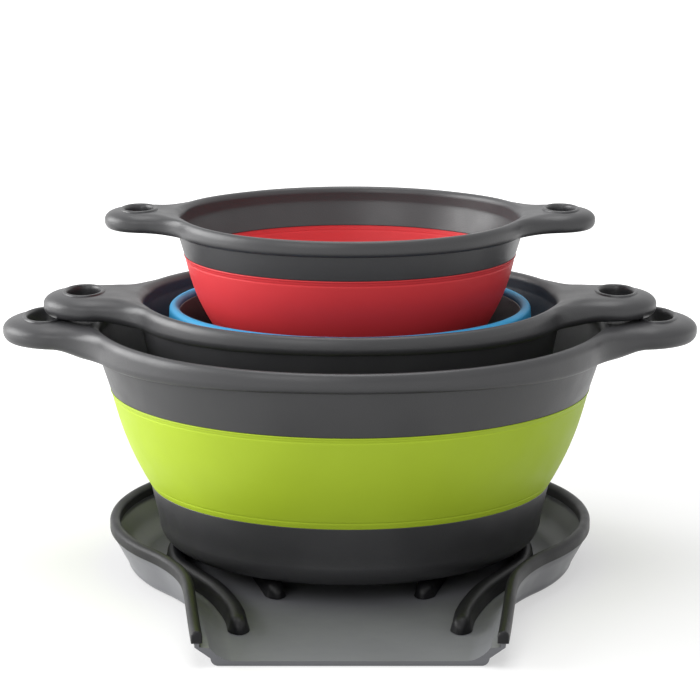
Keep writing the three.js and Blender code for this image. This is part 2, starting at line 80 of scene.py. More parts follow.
COLLAR_RISE = 0.9  # raised lip round a hang hole
HOLE_SEGMENTS = 64
CREASE_DEPTH = 0.22  # hinge lines of an open band
CREASE_WIDTH = 1.0
CREASE_REACH = 1.1  # on each side of a hinge line, where the skin is finer
INNER_CREASE = 0.4  # depth of its groove on the inside, as a share of that outside
LOWER_CREASE = 3.6  # from the open band's lower edge
UPPER_CREASE = 2.8  # and from its upper edge
EDGE_BEAD = 0.35  # how far the open band's upper edge stands proud
BEAD_INSET = 0.5  # that bead's middle below the edge, and its half width
BEAD_REACH = 1.4  # below the upper edge, where the skin is finer
SWELL_SKEW = 0.9  # below 1, an open band swells most just below its middle
LIP_DROP = 4.0  # a folded band's lip below the rim's crest
LIP_SPREAD = 3.4  # its width over the base's edge, centre to centre
FOLD_DROP = 8.5  # how far a folded band hangs below the ring
FOLD_SPREAD = 5.6  # width of that fold, centre to centre
FOLD_INSET = 2.0  # from the fold's outer leg to the ring's side
FOLD_END = 348  # turn at which the fold runs into the leg up to the ring, in degrees
CUP_LEAN = 0.16  # slope of a base's wall above its corner
CUP_WAIST = 1.2  # how much further that wall's foot stands in
DRAIN_SEGMENTS = 20
DRAIN_FLARE = [(0.9, -0.4), (0.45, 0), (0.12, 0.35), (0, 0.8)]  # (growth, depth in the floor)
ROUND_SEGMENTS = 192
SHARP_ANGLE = math.radians(38)
WELD = 0.02  # points closer than this become one

COLANDERS = {
    "large": {
        "rim_width": 6.4, "rim_height": 10.5, "root_drop": 4.5, "rim_overhang": 3.8, "ring_taper": 8.2,
        "band_bulge": 2.6, "base_taper": 19.5, "corner_rise": 14, "ear_half": 34,
        "ear_fillet": 40, "ear_thickness": 13.5, "hole_inset": 24, "hole_radial": 10,
        "hole_across": 19.5, "drain_radius": 3.2, "drain_pitch": 24, "drain_rings": 3,
    },
    "medium": {
        "rim_width": 6, "rim_height": 9.6, "root_drop": 2.4, "rim_overhang": 3.4, "ring_taper": 6.6,
        "band_bulge": 2.2, "base_taper": 17.5, "corner_rise": 12, "ear_half": 28,
        "ear_fillet": 34, "ear_thickness": 12.5, "hole_inset": 22.5, "hole_radial": 9,
        "hole_across": 15.5, "drain_radius": 2.8, "drain_pitch": 27, "drain_rings": 2,
    },
    "small": {
        "rim_width": 5.2, "rim_height": 8.5, "root_drop": 0.6, "rim_overhang": 3, "ring_taper": 4,
        "band_bulge": 2, "base_taper": 16.5, "corner_rise": 10, "ear_half": 22.5,
        "ear_fillet": 26, "ear_thickness": 10.5, "hole_inset": 19, "hole_radial": 7.5,
        "hole_across": 12.5, "drain_radius": 2.5, "drain_pitch": 21, "drain_rings": 2,
    },
}

# The draining tray.
TRAY_WALL = 2.4
TRAY_FLOOR = 2.6
TRAY_UPSTAND = 5  # upright part of the wall, under its top edge
TRAY_TAPER = 8  # how far the wall's foot stands in from its top
TRAY_CORNER = 4
TRAY_INNER_CORNER = 9
INNER_CORNER_TURN = 78  # degrees, where the inside corner meets the leaning wall
CUT_ABOVE = 10  # how far the cavity's cutter stands over the wall's top
SPOUT_TURN = 36  # degrees, where the round back gives way to the spout's sweep
SPOUT_SWEEP_RADIUS = 130
SPOUT_TAPER = 7  # degrees by which each side still closes in at the mouth
MOUTH_DROP = 9  # fall of the wall's top towards the mouth
MOUTH_DROP_RUN = 75
TRIM_GAP = 0.3
TRIM_LEG = 1.4  # thickness of the channel's legs
TRIM_GRIP = 3  # how far they reach down the wall
TRIM_SHOULDER = 0.8  # height over the wall's top at which its dome begins
SLOT_ROUNDING = 0.3  # inner edges of the channel's legs
# A plug's sections, as (distance past the wall's end, share of the channel's section).
PLUG_SHAPE = [(-2, 0.98), (-0.6, 1.01), (0.3, 0.98), (0.9, 0.88), (1.3, 0.7), (1.5, 0.4)]
RIB_WIDTH = 9.2
RIB_DRAFT = 1.2  # how far its foot spreads on each side
RIB_NOSE = 8.5  # length over which each end narrows and its top falls away
RIB_TIP = 0.15  # height of the very end, as a share of the rib's
RIB_SPRING = 0.3  # least share of its height at which the domed top begins
# The ribs' lines, as (distance out from the edge of the large floor, turn in degrees).
OUTER_RIB_ROUTE = [
    (70, -69.6), (50, -65.4), (33, -59), (19, -49.5), (11.5, -37), (9.5, -22), (5.5, -3),
    (1.5, 15), (-6, 35),
]
INNER_RIB_ROUTE = [
    (6, -67), (-9, -59.5), (-24, -46), (-33.5, -30), (-40, -12), (-42, 8), (-38, 29), (-29, 50),
]


def box_mm(node):
    """Opposite corners of a CAD node's box, in millimetres."""
    low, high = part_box(node)
    return [v / MM for v in low], [v / MM for v in high]


def with_frame_sizes(name, size):
    """The colander's own sizes, and those that its CAD nodes give."""
    rim_low, rim_high = box_mm(name + "_rim")
    base_low, base_high = box_mm(name + "_base")
    made = dict(size, name=name)
    made["rim_radius"] = rim_high[1]
    made["reach"] = rim_high[0]
    made["crest"] = rim_high[2] - HANDLE_RISE - COLLAR_RISE
    made["ring_foot"] = rim_low[2]
    made["ring_top_radius"] = made["rim_radius"] - size["rim_overhang"]
    made["ring_radius"] = made["ring_top_radius"] - size["ring_taper"]
    made["foot"] = base_low[2]
    made["edge"] = base_high[2]
    made["edge_radius"] = base_high[0]
    made["floor_radius"] = made["edge_radius"] - size["base_taper"]
    return made


sizes = {name: with_frame_sizes(name, size) for name, size in COLANDERS.items()}


# ---------- camera ----------
CAMERA_REACH = 1500  # level distance from the axis
CAMERA_RISE = 301  # above the large colander's crest
CAMERA_TILT = 12  # degrees below level
CAMERA_LENS = 140.7
SENSOR_WIDTH = 36


def make_camera():
    """The view from in front of the spout, a little above the rims."""
    data = bpy.data.cameras.new("camera")
    data.lens = CAMERA_LENS
    data.sensor_width = SENSOR_WIDTH
    camera = bpy.data.objects.new("camera", data)
    bpy.context.scene.collection.objects.link(camera)
    tilt = math.radians(CAMERA_TILT)
    height = sizes["large"]["crest"] + CAMERA_RISE
    camera.location = Vector((0, -CAMERA_REACH, height)) * MM
    ahead = Vector((0, math.cos(tilt), -math.sin(tilt)))
    camera.rotation_euler = ahead.to_track_quat("-Z", "Y").to_euler()
    bpy.context.scene.camera = camera


make_camera()


# ---------- mesh helpers ----------
def smoothstep(t):
    """An eased rise from 0 to 1, flat outside that range."""
    t = np.clip(t, 0, 1)
    return t * t * (3 - 2 * t)


def mesh_object(name, loops, closed=False, caps=False):
    """A closed skin through loops of points in millimetres, each with the same number of points."""
    loops = np.asarray(loops, float)
    rows, count = loops.shape[:2]
    mesh_builder = bmesh.new()
    vertices = [mesh_builder.verts.new(point * MM) for point in loops.reshape(-1, 3)]
    for i in range(rows if closed else rows - 1):
        below, above = i * count, ((i + 1) % rows) * count
        for k in range(count):
            n = (k + 1) % count
            corners = (below + k, below + n, above + n, above + k)
            mesh_builder.faces.new([vertices[c] for c in corners])
    if caps:
        mesh_builder.faces.new(vertices[:count][::-1])
        mesh_builder.faces.new(vertices[-count:])
    bmesh.ops.remove_doubles(mesh_builder, verts=mesh_builder.verts, dist=WELD * MM)
    bmesh.ops.recalc_face_normals(mesh_builder, faces=mesh_builder.faces)
    mesh = bpy.data.meshes.new(name)
    mesh_builder.to_mesh(mesh)
    mesh_builder.free()
    made = bpy.data.objects.new(name, mesh)
    bpy.context.scene.collection.objects.link(made)
    smooth(made)
    return made


def smooth(piece):
    """Smooth shading that breaks at sharp edges."""
    piece.data.polygons.foreach_set("use_smooth", [True] * len(piece.data.polygons))
    piece.data.set_sharp_from_angle(angle=SHARP_ANGLE)


def shade_by_area(piece):
    """Large faces keep their own direction, so that flats stay flat beside rounded edges."""
    modifier = piece.modifiers.new("flats", "WEIGHTED_NORMAL")
    modifier.keep_sharp = True


def combine(piece, tools, operation):
    """Cuts the tools out of a piece, or joins them on, and deletes them."""
    for tool in tools:
        modifier = piece.modifiers.new("combine", "BOOLEAN")
        modifier.object = tool
        modifier.operation = operation
        modifier.solver = "EXACT"
    bpy.context.view_layer.update()
    shown = piece.evaluated_get(bpy.context.evaluated_depsgraph_get())
    mesh = bpy.data.meshes.new_from_object(shown)
    piece.modifiers.clear()
    piece.data = mesh
    for tool in tools:
        bpy.data.objects.remove(tool)
    smooth(piece)


def revolve(name, profile, closed=True):
    """A section of (radius, height) points turned round the colanders' axis."""
    turn = np.linspace(0, 2 * math.pi, ROUND_SEGMENTS, endpoint=False)
    loops = [
        np.column_stack([r * np.cos(turn), r * np.sin(turn), np.full_like(turn, z)])
        for r, z in profile
    ]
    return mesh_object(name, loops, closed=closed)


def rounded(corners, steps=6, closed=True):
    """A line through (across, up, rounding) corners, with each corner eased by its rounding."""
    points = []
    count = len(corners)
    for i, (x, z, rounding) in enumerate(corners):
        here = np.array([x, z])
        if rounding == 0 or (not closed and i in (0, count - 1)):
            points.append(here)
            continue
        before = np.array(corners[i - 1][:2]) - here
        after = np.array(corners[(i + 1) % count][:2]) - here
        reach = [min(rounding, 0.48 * np.linalg.norm(side)) for side in (before, after)]
        start = here + before / np.linalg.norm(before) * reach[0]
        end = here + after / np.linalg.norm(after) * reach[1]
        for u in np.linspace(0, 1, steps + 1):
            points.append((1 - u) ** 2 * start + 2 * u * (1 - u) * here + u * u * end)
    return points


def arc(centre, semi_x, semi_y, start, end, steps):
    """Points along part of an ellipse, from one turn in degrees to another."""
    turns = np.radians(np.linspace(start, end, steps + 1))
    return [(centre[0] + semi_x * math.cos(a), centre[1] + semi_y * math.sin(a)) for a in turns]


def straight_line(start, end, count):
    """Evenly spaced points from one point to another, with both ends."""
    start, end = np.array(start), np.array(end)
    return [tuple(start * (1 - t) + end * t) for t in np.linspace(0, 1, count)]


def offset_line(line, distance):
    """A line moved sideways to its left, whose ends keep their heights."""
    line = np.asarray(line, float)
    along = np.gradient(line, axis=0)
    along /= np.linalg.norm(along, axis=1)[:, None]
    moved = line + np.column_stack([-along[:, 1], along[:, 0]]) * distance
    moved[0, 1], moved[-1, 1] = line[0, 1], line[-1, 1]
    return moved


# ---------- rims ----------
def rim_plan(size):
    """Outer outline of a rim with its two ears, turning from the right ear's tip."""
    radius, half, fillet = size["rim_radius"], size["ear_half"], size["ear_fillet"]
    centre = size["reach"] - half
    to_fillet = radius + fillet
    fillet_x = (to_fillet**2 - (half + fillet) ** 2 + centre**2) / (2 * centre)
    fillet_y = math.sqrt(to_fillet**2 - fillet_x**2)
    angle = math.degrees(math.atan2(fillet_y, fillet_x))
    end_angle = math.degrees(math.atan2(fillet_y, fillet_x - centre))
    end = arc((centre, 0), half, half, 0, end_angle, 34)
    hollow = arc((fillet_x, fillet_y), fillet, fillet, 180 + end_angle, 180 + angle, 20)
    round_part = arc((0, 0), radius, radius, angle, 90, 44)
    quarter = np.array(end + hollow[1:] + round_part[1:])
    half_turn = np.vstack([quarter, quarter[-2::-1] * [-1, 1]])
    return np.vstack([half_turn, half_turn[-2:0:-1] * [1, -1]])


def inward(plan):
    """Unit directions into an outline that turns anticlockwise."""
    along = np.roll(plan, -1, axis=0) - np.roll(plan, 1, axis=0)
    along /= np.linalg.norm(along, axis=1)[:, None]
    return np.column_stack([-along[:, 1], along[:, 0]])


def rim(size):
    """Ring wall, rolled edge and both handles as one skin whose loops turn round the axis."""
    plan = rim_plan(size)
    normal = inward(plan)
    reach = np.linalg.norm(plan, axis=1)
    crest, width, height = size["crest"], size["rim_width"], size["rim_height"]
    radius, thickness = size["rim_radius"], size["ear_thickness"]
    from_handle = np.degrees(np.arctan2(abs(plan[:, 1]), abs(plan[:, 0])))
    on_ear = smoothstep((reach - radius) / EAR_BLEND)
    deeper = size["root_drop"] * (1 - smoothstep((from_handle - ROOT_FROM) / (ROOT_TO - ROOT_FROM)))
    bead = radius - width / 2 - CREST_FLAT / 2 + ROOT_ROLL * on_ear
    shoulder = RIM_ROUNDING * height + 0.5 * ROOT_ROLL * on_ear

    def mix(on_rim, on_handle):
        return on_rim + (on_handle - on_rim) * on_ear

    reach_in = mix((width - CREST_FLAT) / 2, CROWN_REACH * size["ear_half"])
    brow = plan + normal * reach_in[:, None]
    spokes = brow / np.linalg.norm(brow, axis=1)[:, None]
    swept_up = CREST_SWEEP * (1 - smoothstep((from_handle - SWEEP_FROM) / SWEEP_RUN))

    def top_at(points):
        out = np.linalg.norm(points, axis=1) - radius + width / 2
        return crest + swept_up + (HANDLE_RISE - swept_up) * smoothstep(out / HANDLE_RAMP)

    def circle(distance, level):
        points = spokes * np.reshape(distance, (-1, 1))
        return np.column_stack([points, np.broadcast_to(level, len(plan))])

    def wall_at(level):
        depth = (crest - height - level) / (crest - height - size["ring_foot"])
        return size["ring_top_radius"] + (size["ring_radius"] - size["ring_top_radius"]) * depth

    # Down the ring's outside, round its foot and up its inside.
    start = crest - height - SKIN_START
    foot = [
        (wall_at(start), start, 0),
        (size["ring_radius"], size["ring_foot"], EDGE_ROUNDING),
        (size["ring_radius"] - WALL, size["ring_foot"], EDGE_ROUNDING),
        (radius - width - NECK_STEP, crest - NECK_DEPTH, NECK_ROUNDING),
        (radius - width, crest - NECK_TOP, 0),
    ]
    loops = [circle(r, z) for r, z in rounded(foot, closed=False)]

    # Over the rim's inner edge, across its top or the handle's, and down the outer edge.
    bead_level = top_at(spokes * bead[:, None])
    for turn in np.radians(np.linspace(180, 90, 10)):
        inside = bead + (bead - radius + width) * math.cos(turn)
        loops.append(circle(inside, bead_level - shoulder * (1 - math.sin(turn))))
    drop = mix(RIM_CROWN * height, CROWN_DROP * thickness)
    for t in np.linspace(0, 1, 10)[1:-1]:
        points = spokes * bead[:, None] * (1 - t) + brow * t
        loops.append(np.column_stack([points, top_at(points)]))
    for turn in np.radians(np.linspace(0, 90, 13)):
        points = plan + normal * (reach_in * (1 - math.sin(turn)))[:, None]
        loops.append(np.column_stack([points, top_at(points) - drop * (1 - math.cos(turn))]))

    # Round the lower edge and back to the ring's wall.
    along_ear = 1 - smoothstep((reach - radius) / ROOT_RUN)
    level = mix(crest - height, crest + HANDLE_RISE - thickness)
    under = level - deeper * along_ear
    sole_in = mix(RIM_ROUNDING * width, SOLE_WIDTH * SOLE_ROUNDING * thickness)
    sole_up = mix(RIM_ROUNDING * height, SOLE_ROUNDING * thickness)
    for turn in np.radians(np.linspace(0, 90, 9)):
        points = plan + normal * (sole_in * (1 - math.cos(turn)))[:, None]
        loops.append(np.column_stack([points, under + sole_up * (1 - math.sin(turn))]))
    sole = plan + normal * sole_in[:, None]
    root_level = crest - height - deeper
    root = spokes * wall_at(root_level)[:, None]
    for t in np.linspace(0, 1, 9)[1:]:
        points = sole * (1 - t) + root * t
        out = (np.linalg.norm(points, axis=1) - radius) / ROOT_RUN
        sunk = deeper * (1 - smoothstep(out))
        loops.append(np.column_stack([points, (level - sunk) * (1 - t**4) + root_level * t**4]))

    made = mesh_object(size["name"] + "_rim_moulding", loops, closed=True)
    combine(made, [hang_hole_collar(size, side) for side in (1, -1)], "UNION")
    combine(made, [hang_hole_cutter(size, side) for side in (1, -1)], "DIFFERENCE")
    return made


def oval_loops(size, side, levels):
    """Ovals round a hang hole, as (growth, height above the handle's top) levels."""
    centre = size["reach"] - size["hole_inset"]
    high = size["crest"] + HANDLE_RISE
    turn = np.linspace(0, 2 * math.pi, HOLE_SEGMENTS, endpoint=False)
    return [
        np.column_stack([
            side * (centre + (size["hole_radial"] + grow) * np.cos(turn)),
            (size["hole_across"] + grow) * np.sin(turn),
            np.full_like(turn, high + up),
        ])
        for grow, up in levels
    ]


def hang_hole_collar(size, side):
    """The raised lip, as a solid disc that the hole is then cut through."""
    levels = [
        (2.9, -2), (2.9, -0.2), (2.8, 0.1), (2.72, 0.45), (2.5, 0.72), (2.15, 0.86),
        (1.8, COLLAR_RISE), (0.6, COLLAR_RISE),
    ]
    return mesh_object("collar", oval_loops(size, side, levels), caps=True)


def hang_hole_cutter(size, side):
    """A hang hole, eased at the handle's underside and at the lip's top."""
    deep = size["ear_thickness"]
    levels = [
        (2.6, -deep - 1), (1.6, 0.02 - deep), (0.7, 0.5 - deep), (0.15, 1.4 - deep),
        (0, 2.6 - deep), (0, -2.4), (0.06, -1.4), (0.25, -0.5), (0.6, 0.25), (1.0, 0.66),
        (1.45, 0.87), (1.9, 1.1),
    ]
    return mesh_object("cutter", oval_loops(size, side, levels), caps=True)


# ---------- bands ----------
def open_band(size):
    """The stretched band: a swelling wall between two fine hinge lines."""
    low = size["edge"] + JOIN_GAP
    high = size["ring_foot"] - JOIN_GAP
    hinges = [low + LOWER_CREASE, high - UPPER_CREASE]

    def radius_at(z, crease, edge_bead):
        t = (z - low) / (high - low)
        straight = size["edge_radius"] + (size["ring_radius"] - size["edge_radius"]) * t
        swell = size["band_bulge"] * math.sin(math.pi * t**SWELL_SKEW)
        groove = sum(math.exp(-(((z - hinge) / (CREASE_WIDTH / 2)) ** 2)) for hinge in hinges)
        bead = edge_bead * math.exp(-(((high - BEAD_INSET - z) / BEAD_INSET) ** 2))
        return straight + swell - crease * groove + bead

    fine = np.linspace(-CREASE_REACH, CREASE_REACH, 13)
    heights = [*np.linspace(low, high, 34), *np.linspace(high - BEAD_REACH, high, 9)[:-1]]
    heights = sorted([*heights, *[hinge + step for hinge in hinges for step in fine]])
    outer = [(radius_at(z, CREASE_DEPTH, EDGE_BEAD), z) for z in heights]
    inner = [(radius_at(z, -INNER_CREASE * CREASE_DEPTH, 0) - SILICONE, z) for z in heights]
    return revolve(size["name"] + "_silicone_band", [*outer, *inner[::-1]])


def folded_band(size):
    """The collapsed band: a lip over the base's edge and a hanging fold under the ring."""
    half = SILICONE / 2
    crest = size["crest"]
    start = size["edge_radius"] - WALL / 2
    lip_radius = LIP_SPREAD / 2
    lip_centre = (start + lip_radius, crest - LIP_DROP - half - lip_radius)
    fold_radius = FOLD_SPREAD / 2
    ring_side = size["ring_radius"] - half
    fold_low = size["ring_foot"] - FOLD_DROP + half
    fold_centre = (ring_side - FOLD_INSET - fold_radius, fold_low + fold_radius)
    lip = arc(lip_centre, lip_radius, lip_radius, 180, 0, 16)
    fold = arc(fold_centre, fold_radius, fold_radius, 180, FOLD_END, 18)
    leg = straight_line(fold[-1], (ring_side, size["ring_foot"] - JOIN_GAP), 6)[1:]
    slope = straight_line(lip[-1], fold[0], 26)[1:-1]
    line = [(start, size["edge"] + JOIN_GAP), *lip, *slope, *fold, *leg]
    outer = offset_line(line, half)
    inner = offset_line(line, -half)
    return revolve(size["name"] + "_silicone_band", [*outer, *inner[::-1]])


# ---------- bases ----------
def base(size):
    """A cup with a rounded corner and drain holes in its floor."""
    foot, edge, floor = size["foot"], size["edge"], size["floor_radius"]
    rise = size["corner_rise"]
    waist = size["edge_radius"] - CUP_LEAN * (edge - foot - rise) - CUP_WAIST
    corner = arc((floor, foot + rise), waist - floor, rise, -90, 0, 16)
    hollow = arc((floor, foot + rise), waist - floor - WALL, rise - WALL, -90, 0, 16)
    # A fifth of the way up, the wall is only a sixth of the way out.
    lean = (size["edge_radius"] - waist) / 6
    outside = [*corner, (waist + lean, foot + rise + (edge - foot - rise) / 5)]
    outside = [(0, foot), (floor / 2, foot), *outside]
    brim = rounded(
        [
            (*outside[-1], 0),
            (size["edge_radius"], edge, EDGE_ROUNDING),
            (size["edge_radius"] - WALL, edge, EDGE_ROUNDING),
            (*hollow[-1], 0),
        ],
        closed=False,
    )
    inside = [*hollow[::-1][1:], (floor / 2, foot + WALL), (0, foot + WALL)]
    made = revolve(size["name"] + "_base_cup", [*outside, *brim[1:], *inside], closed=False)
    combine(made, [drain_cutter(size)], "DIFFERENCE")
    return made


def drain_cutter(size):
    """All the drain holes, each a little flared at both faces of the floor."""
    radius, foot = size["drain_radius"], size["foot"]
    turn = np.linspace(0, 2 * math.pi, DRAIN_SEGMENTS, endpoint=False)
    levels = [*DRAIN_FLARE, *[(grow, WALL - up) for grow, up in DRAIN_FLARE[::-1]]]
    places = [(0, 0)]
    for ring in range(1, size["drain_rings"] + 1):
        reach = ring * size["drain_pitch"]
        places += arc((0, 0), reach, reach, 0, 360, 6 * ring)[:-1]
    holes = []
    for x, y in places:
        loops = [
            np.column_stack([
                x + (radius + grow) * np.cos(turn),
                y + (radius + grow) * np.sin(turn),
                np.full_like(turn, foot + up),
            ])
            for grow, up in levels
        ]
        holes.append(mesh_object("drain", loops, caps=True))
    return joined(holes)


def joined(objects):
    """Several separate bodies as one mesh."""
    builder = bmesh.new()
    for part in objects:
        builder.from_mesh(part.data)
        bpy.data.objects.remove(part)
    mesh = bpy.data.meshes.new("joined")
    builder.to_mesh(mesh)
    builder.free()
    made = bpy.data.objects.new("joined", mesh)
    bpy.context.scene.collection.objects.link(made)
    return made


# ---------- tray ----------
tray_low, tray_high = box_mm("tray_shell")
TRAY_RADIUS = tray_high[1]
SPOUT_MOUTH = -tray_low[1]
TRAY_WALL_TOP = tray_high[2]


def wall_top(y):
    """Height of the tray wall's top edge, which falls towards the mouth."""
    start = SPOUT_MOUTH - MOUTH_DROP_RUN
    return TRAY_WALL_TOP - MOUTH_DROP * smoothstep((-y - start) / MOUTH_DROP_RUN)


def tray_stations():
    """Points on the wall's outer face with their outward directions, from mouth to mouth."""
    turn, taper = math.radians(SPOUT_TURN), math.radians(SPOUT_TAPER)
    far = TRAY_RADIUS + SPOUT_SWEEP_RADIUS
    centre = (far * math.cos(turn), -far * math.sin(turn))
    right = []
    for angle in np.linspace(taper, turn, 26):
        x = centre[0] - SPOUT_SWEEP_RADIUS * math.cos(angle)
        y = centre[1] + SPOUT_SWEEP_RADIUS * math.sin(angle)
        right.append((x, y, angle))
    first = right[0]
    run = SPOUT_MOUTH + first[1]
    straight = [
        (first[0] - t * run * math.tan(taper), first[1] - t * run, taper)
        for t in np.linspace(1, 0, 9)[:-1]
    ]
    back = [
        (TRAY_RADIUS * math.cos(a), -TRAY_RADIUS * math.sin(a), a)
        for a in np.linspace(turn, -math.pi / 2, 52)[1:]
    ]
    half = [(x, y, math.cos(a), -math.sin(a)) for x, y, a in [*straight, *right, *back]]
    mirrored = [(-x, y, -out_x, out_y) for x, y, out_x, out_y in half[-2::-1]]
    return np.array([*half, *mirrored])


stations = tray_stations()
plan_points, plan_out = stations[:, :2], stations[:, 2:]
plan_tops = wall_top(plan_points[:, 1])


def tray_ring(move, fixed=None, from_top=0.0, forward=0.0):
    """The tray's plan moved in by a distance, at one height or at one depth below the wall's top."""
    points = plan_points - plan_out * move
    for i in (0, -1):
        side = math.copysign(1, plan_points[i, 0])
        points[i] += np.array([plan_out[i, 1] * side, -abs(plan_out[i, 0])]) * forward
    heights = plan_tops + from_top if fixed is None else np.full(len(points), float(fixed))
    return np.column_stack([points, heights])


def tray_shell():
    """Floor, leaning wall and open spout: a block of the tray's plan with its inside cut out."""
    foot = TRAY_TAPER
    rings = [tray_ring(foot + TRAY_CORNER, 0)]
    for a in np.radians(np.linspace(0, 90, 8))[1:]:
        move = foot + TRAY_CORNER * (1 - math.sin(a))
        rings.append(tray_ring(move, TRAY_CORNER * (1 - math.cos(a))))
    low, high = tray_ring(foot, TRAY_CORNER), tray_ring(0, from_top=-TRAY_UPSTAND)
    for t in np.linspace(0, 1, 7)[1:]:
        rings.append(low * (1 - t) + high * t)
    rings += [tray_ring(0), tray_ring(2 * TRAY_WALL)]
    outer = mesh_object("tray_moulding", rings, caps=True)

    inside = foot + TRAY_WALL
    forward = 2 * TRAY_WALL
    lean = foot / (TRAY_WALL_TOP - TRAY_UPSTAND)
    rings = []
    for a in np.radians(np.linspace(0, INNER_CORNER_TURN, 12)):
        height = TRAY_INNER_CORNER * (1 - math.cos(a))
        move = inside + TRAY_INNER_CORNER * (1 - math.sin(a)) - lean * height
        rings.append(tray_ring(move, TRAY_FLOOR + height, forward=forward))
    low = rings[-1]
    high = tray_ring(TRAY_WALL, from_top=-TRAY_UPSTAND, forward=forward)
    for t in np.linspace(0, 1, 7)[1:]:
        rings.append(low * (1 - t) + high * t)
    rings.append(tray_ring(TRAY_WALL, from_top=CUT_ABOVE, forward=forward))
    cavity = mesh_object("cavity", rings, caps=True)
    combine(outer, [cavity], "DIFFERENCE")
    return outer


def tray_trim():
    """The soft channel on the wall's top edge, closed by a rounded plug at each end of the mouth."""
    outer = -TRIM_GAP - TRIM_LEG
    inner = TRAY_WALL + TRIM_GAP + TRIM_LEG
    middle, half = (outer + inner) / 2, (inner - outer) / 2
    dome = arc((middle, TRIM_SHOULDER), half, half, 180, 0, 18)
    outside = [
        (outer, -TRIM_GRIP, EDGE_ROUNDING),
        (outer, TRIM_SHOULDER, 0),
        *[(x, z, 0) for x, z in dome[1:-1]],
        (inner, TRIM_SHOULDER, 0),
        (inner, -TRIM_GRIP, EDGE_ROUNDING),
    ]
    slot = [
        (inner - TRIM_LEG, -TRIM_GRIP, SLOT_ROUNDING),
        (inner - TRIM_LEG, TRIM_GAP, 0),
        (outer + TRIM_LEG, TRIM_GAP, 0),
        (outer + TRIM_LEG, -TRIM_GRIP, SLOT_ROUNDING),
    ]
    section = np.array(rounded([*outside, *slot], steps=4))
    rings = [across_wall(i, section) for i in range(len(stations))]
    channel = mesh_object("channel", rings, caps=True)
    solid = np.array(rounded(outside, steps=4))
    centre = np.array([middle, 0])
    plugs = []
    for i in (0, -1):
        rings = [
            across_wall(i, centre + (solid - centre) * share, forward)
            for forward, share in PLUG_SHAPE
        ]
        plugs.append(mesh_object("plug", rings, caps=True))
    made = joined([channel, *plugs])
    made.name = "tray_edge_trim"
    smooth(made)
    return made


def across_wall(i, section, forward=0.0):
    """A section of (distance in from the outer face, height over the wall's top) at a station."""
    x, y, out_x, out_y = stations[i]
    ahead = np.array([out_y * math.copysign(1, x), -abs(out_x)]) * forward
    return np.column_stack([
        x - out_x * section[:, 0] + ahead[0],
        y - out_y * section[:, 0] + ahead[1],
        plan_tops[i] + section[:, 1],
    ])


def rib(name, route, side, node):
    """A bead with a domed top, drafted sides and round ends along a curve on the floor."""
    low, high = box_mm(node)
    height = high[2] - low[2]
    floor_radius = sizes["large"]["floor_radius"]
    knots = [
        Vector((
            side * (floor_radius + out) * math.cos(math.radians(turn)),
            (floor_radius + out) * math.sin(math.radians(turn)),
            0,
        ))
        for out, turn in route
    ]
    line = catmull_rom(knots)
    length = sum((b - a).length for a, b in zip(line, line[1:]))
    half = RIB_WIDTH / 2
    round_end = [RIB_NOSE * (1 - math.cos(a)) for a in np.radians(np.linspace(9, 90, 14))]
    middle = np.linspace(RIB_NOSE, length - RIB_NOSE, 80)[1:-1]
    places = [*round_end, *middle, *[length - d for d in round_end[::-1]]]
    points = at_distances(line, places)
    rings = []
    for i, (point, place) in enumerate(zip(points, places)):
        before, after = points[max(i - 1, 0)], points[min(i + 1, len(points) - 1)]
        along = (after - before).normalized()
        from_end = min(place, length - place)
        from_nose = max(1 - from_end / RIB_NOSE, 0)
        share = math.sqrt(1 - from_nose**2)
        width = half * share
        draft = RIB_DRAFT * share**3
        crown = height * (RIB_TIP + (1 - RIB_TIP) * share)
        spring = max(crown - half * share, RIB_SPRING * crown)
        dome = arc((0, spring), width, crown - spring, 0, 180, 16)
        foot = [(width + draft, 0), (width + 0.8 * draft, 0.5), (width + 0.35 * draft, 0.5 * spring)]
        section = [*foot, *dome, *[(-x, z) for x, z in foot[::-1]]]
        rings.append([
            (point.x + along.y * across, point.y - along.x * across, low[2] + up)
            for across, up in section
        ])
    return mesh_object(name, rings, caps=True)


def catmull_rom(knots):
    """A dense smooth line through the knots."""
    ends = [2 * knots[0] - knots[1], *knots, 2 * knots[-1] - knots[-2]]
    line = []
    for a, b, c, d in zip(ends, ends[1:], ends[2:], ends[3:]):
        for t in np.linspace(0, 1, 40, endpoint=False):
            line.append(
                0.5 * (2 * b + (c - a) * t + (2 * a - 5 * b + 4 * c - d) * t**2
                       + (3 * b - a - 3 * c + d) * t**3)
            )
    return [*line, knots[-1]]


def at_distances(line, distances):
    """Points of a line at distances measured along it."""
    points = np.array([tuple(p) for p in line])
    travelled = np.concatenate([[0], np.cumsum(np.linalg.norm(np.diff(points, axis=0), axis=1))])
    placed = [np.interp(distances, travelled, points[:, k]) for k in range(3)]
    return [Vector(p) for p in zip(*placed)]


# ---------- materials ----------
CLOUD_SCALE = 28  # of the noise behind the faint colour clouds
GLOSS_SCALE = 70  # and of that behind the uneven gloss
GLOSS_BELOW, GLOSS_ABOVE = 0.04, 0.05  # how far the roughness varies
GRAIN_DEPTH = 0.0002  # metres


def linear(colour):
    """A "#rrggbb" colour as linear red, green and blue."""
    parts = [int(colour[i : i + 2], 16) / 255 for i in (1, 3, 5)]
    return [p / 12.92 if p <= 0.04045 else ((p + 0.055) / 1.055) ** 2.4 for p in parts]


